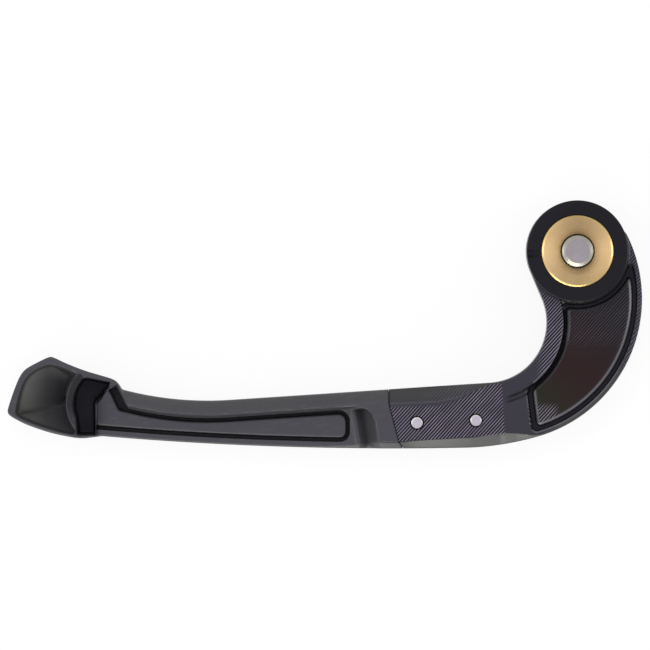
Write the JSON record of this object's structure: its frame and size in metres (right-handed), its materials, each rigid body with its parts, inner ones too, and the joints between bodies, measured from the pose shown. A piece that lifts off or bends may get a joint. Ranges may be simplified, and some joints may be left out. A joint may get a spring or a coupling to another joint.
{
  "type": "brake lever guard",
  "caption": "Handlebar-end brake lever guard: a milled hook-shaped aluminium arm with a round boss, and a moulded blade that ends in a scooped wing.",
  "frame": {"origin": "on the centre bolt's axis, in the plane of the brass bush's face, which seats on the bar end", "axes": "+X runs along the guard from the wing to the boss, +Z is the way the bolt's free end points, and the guard lies on its back below the origin"},
  "size_m": [0.1999, 0.0782, 0.0234],
  "materials": {
    "arm": "black anodised, with milling marks",
    "blade": "matt moulded, glass filled",
    "bush": "turned",
    "bolt": "zinc plated",
    "washer": "zinc plated",
    "screws": "stainless"
  },
  "bodies": {
    "root": {"arm": "arm", "blade": "blade", "boss_bush": "bush", "centre_bolt": "bolt", "bolt_washer": "washer", "blade_screws": "screws"}
  },
  "joints": []
}
